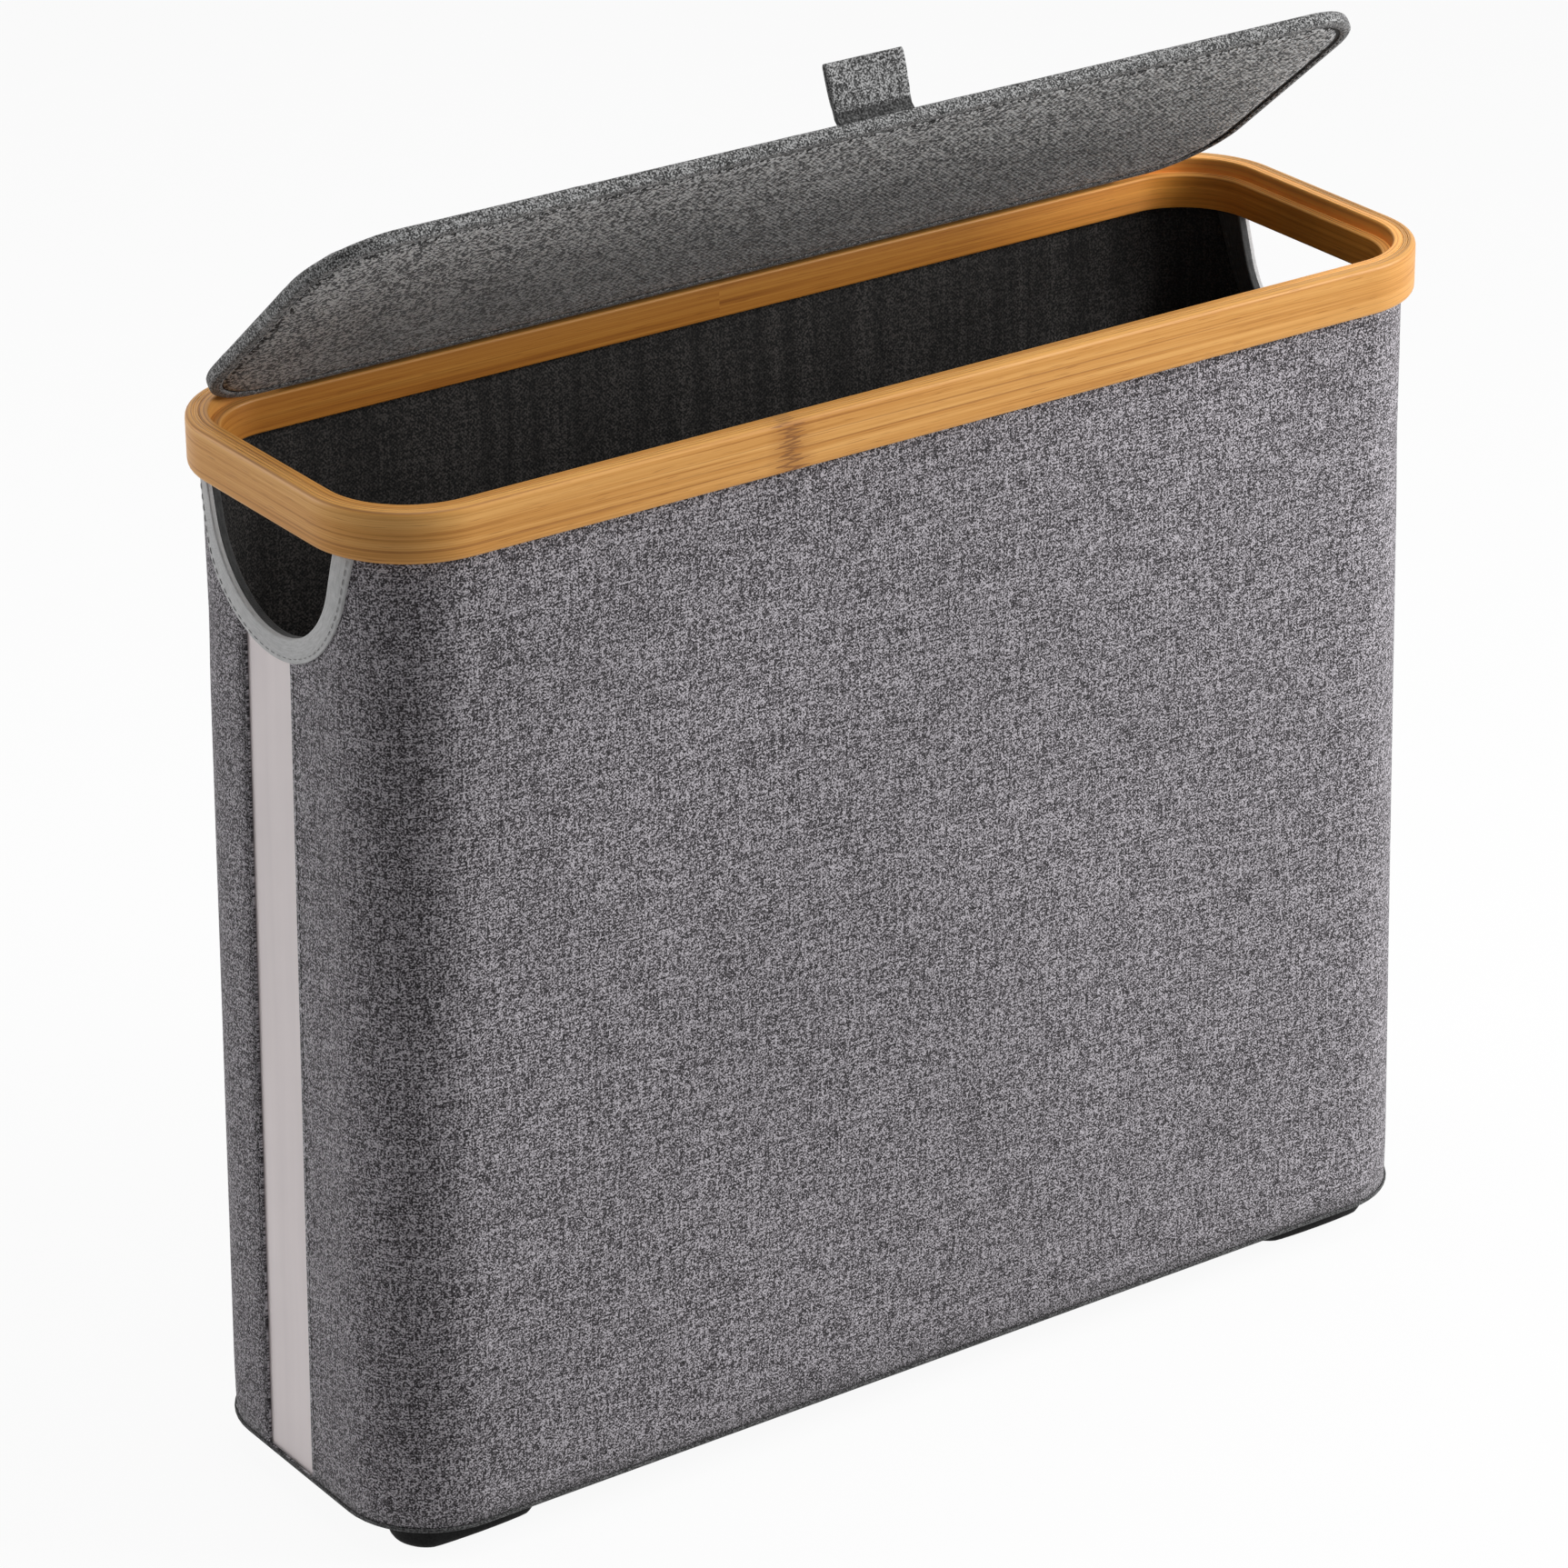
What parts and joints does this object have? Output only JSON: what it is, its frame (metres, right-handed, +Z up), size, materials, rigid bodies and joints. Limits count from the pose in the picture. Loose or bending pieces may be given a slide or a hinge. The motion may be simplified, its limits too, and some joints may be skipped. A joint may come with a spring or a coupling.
{
  "type": "toilet roll storage basket",
  "caption": "Slim cloth-covered basket on black feet with a laminated bamboo rim, end hand openings, clear side strips and a hinged padded lid with a pull tab, for storing toilet rolls.",
  "frame": {"origin": "on the floor under the middle of the basket", "axes": "+X along the basket's length, +Y from the front to the hinge side, +Z up"},
  "size_m": [0.425, 0.137, 0.4595],
  "materials": {
    "bamboo": "satin varnished laminated bamboo, long fine grain with growth nodes",
    "grey_cloth": "heathered grey linen-look weave",
    "lining_cloth": "thin charcoal lining cloth",
    "stiffener_board": "plain grey-brown pressed board",
    "clear_strip": "milky clear vinyl sheet",
    "binding_tape": "flat light grey binding tape",
    "dark_piping": "dark rolled cloth piping",
    "black_feet": "matt black moulded plastic",
    "screw_steel": "zinc plated steel",
    "lid_foam": "soft white foam sheet"
  },
  "bodies": {
    "basket": {"rim_outer_ply": "bamboo", "rim_middle_ply": "bamboo", "rim_inner_ply": "bamboo", "rim_ledge_hoop": "bamboo", "outer_sleeve": "grey_cloth", "lining": "lining_cloth", "front_board": "stiffener_board", "back_board": "stiffener_board", "front_left_corner_board": "stiffener_board", "back_left_corner_board": "stiffener_board", "front_right_corner_board": "stiffener_board", "back_right_corner_board": "stiffener_board", "left_window": "clear_strip", "right_window": "clear_strip", "left_handle_binding": "binding_tape", "right_handle_binding": "binding_tape", "base_cover": "grey_cloth", "base_board_plate": "stiffener_board", "bottom_piping": "dark_piping", "front_left_foot": "black_feet", "back_left_foot": "black_feet", "front_right_foot": "black_feet", "back_right_foot": "black_feet", "foot_screws": "screw_steel", "lid_hinge_strip": "grey_cloth"},
    "lid": {"lid_underside_panel": "grey_cloth", "lid_core_board": "stiffener_board", "lid_padding": "lid_foam", "lid_cover": "grey_cloth"},
    "tab": {"pull_tab": "grey_cloth"}
  },
  "joints": [
    {"name": "lid_hinge", "type": "hinge", "parent": "basket", "child": "lid", "pos_m": [0, 0.0599, 0.365], "axis": [-1, 0, 0], "range_deg": [-40, 100]},
    {"name": "tab_fold", "type": "hinge", "parent": "lid", "child": "tab", "pos_m": [0, -0.02994, 0.4426], "axis": [-1, 0, 0], "range_deg": [-66, 94]}
  ]
}
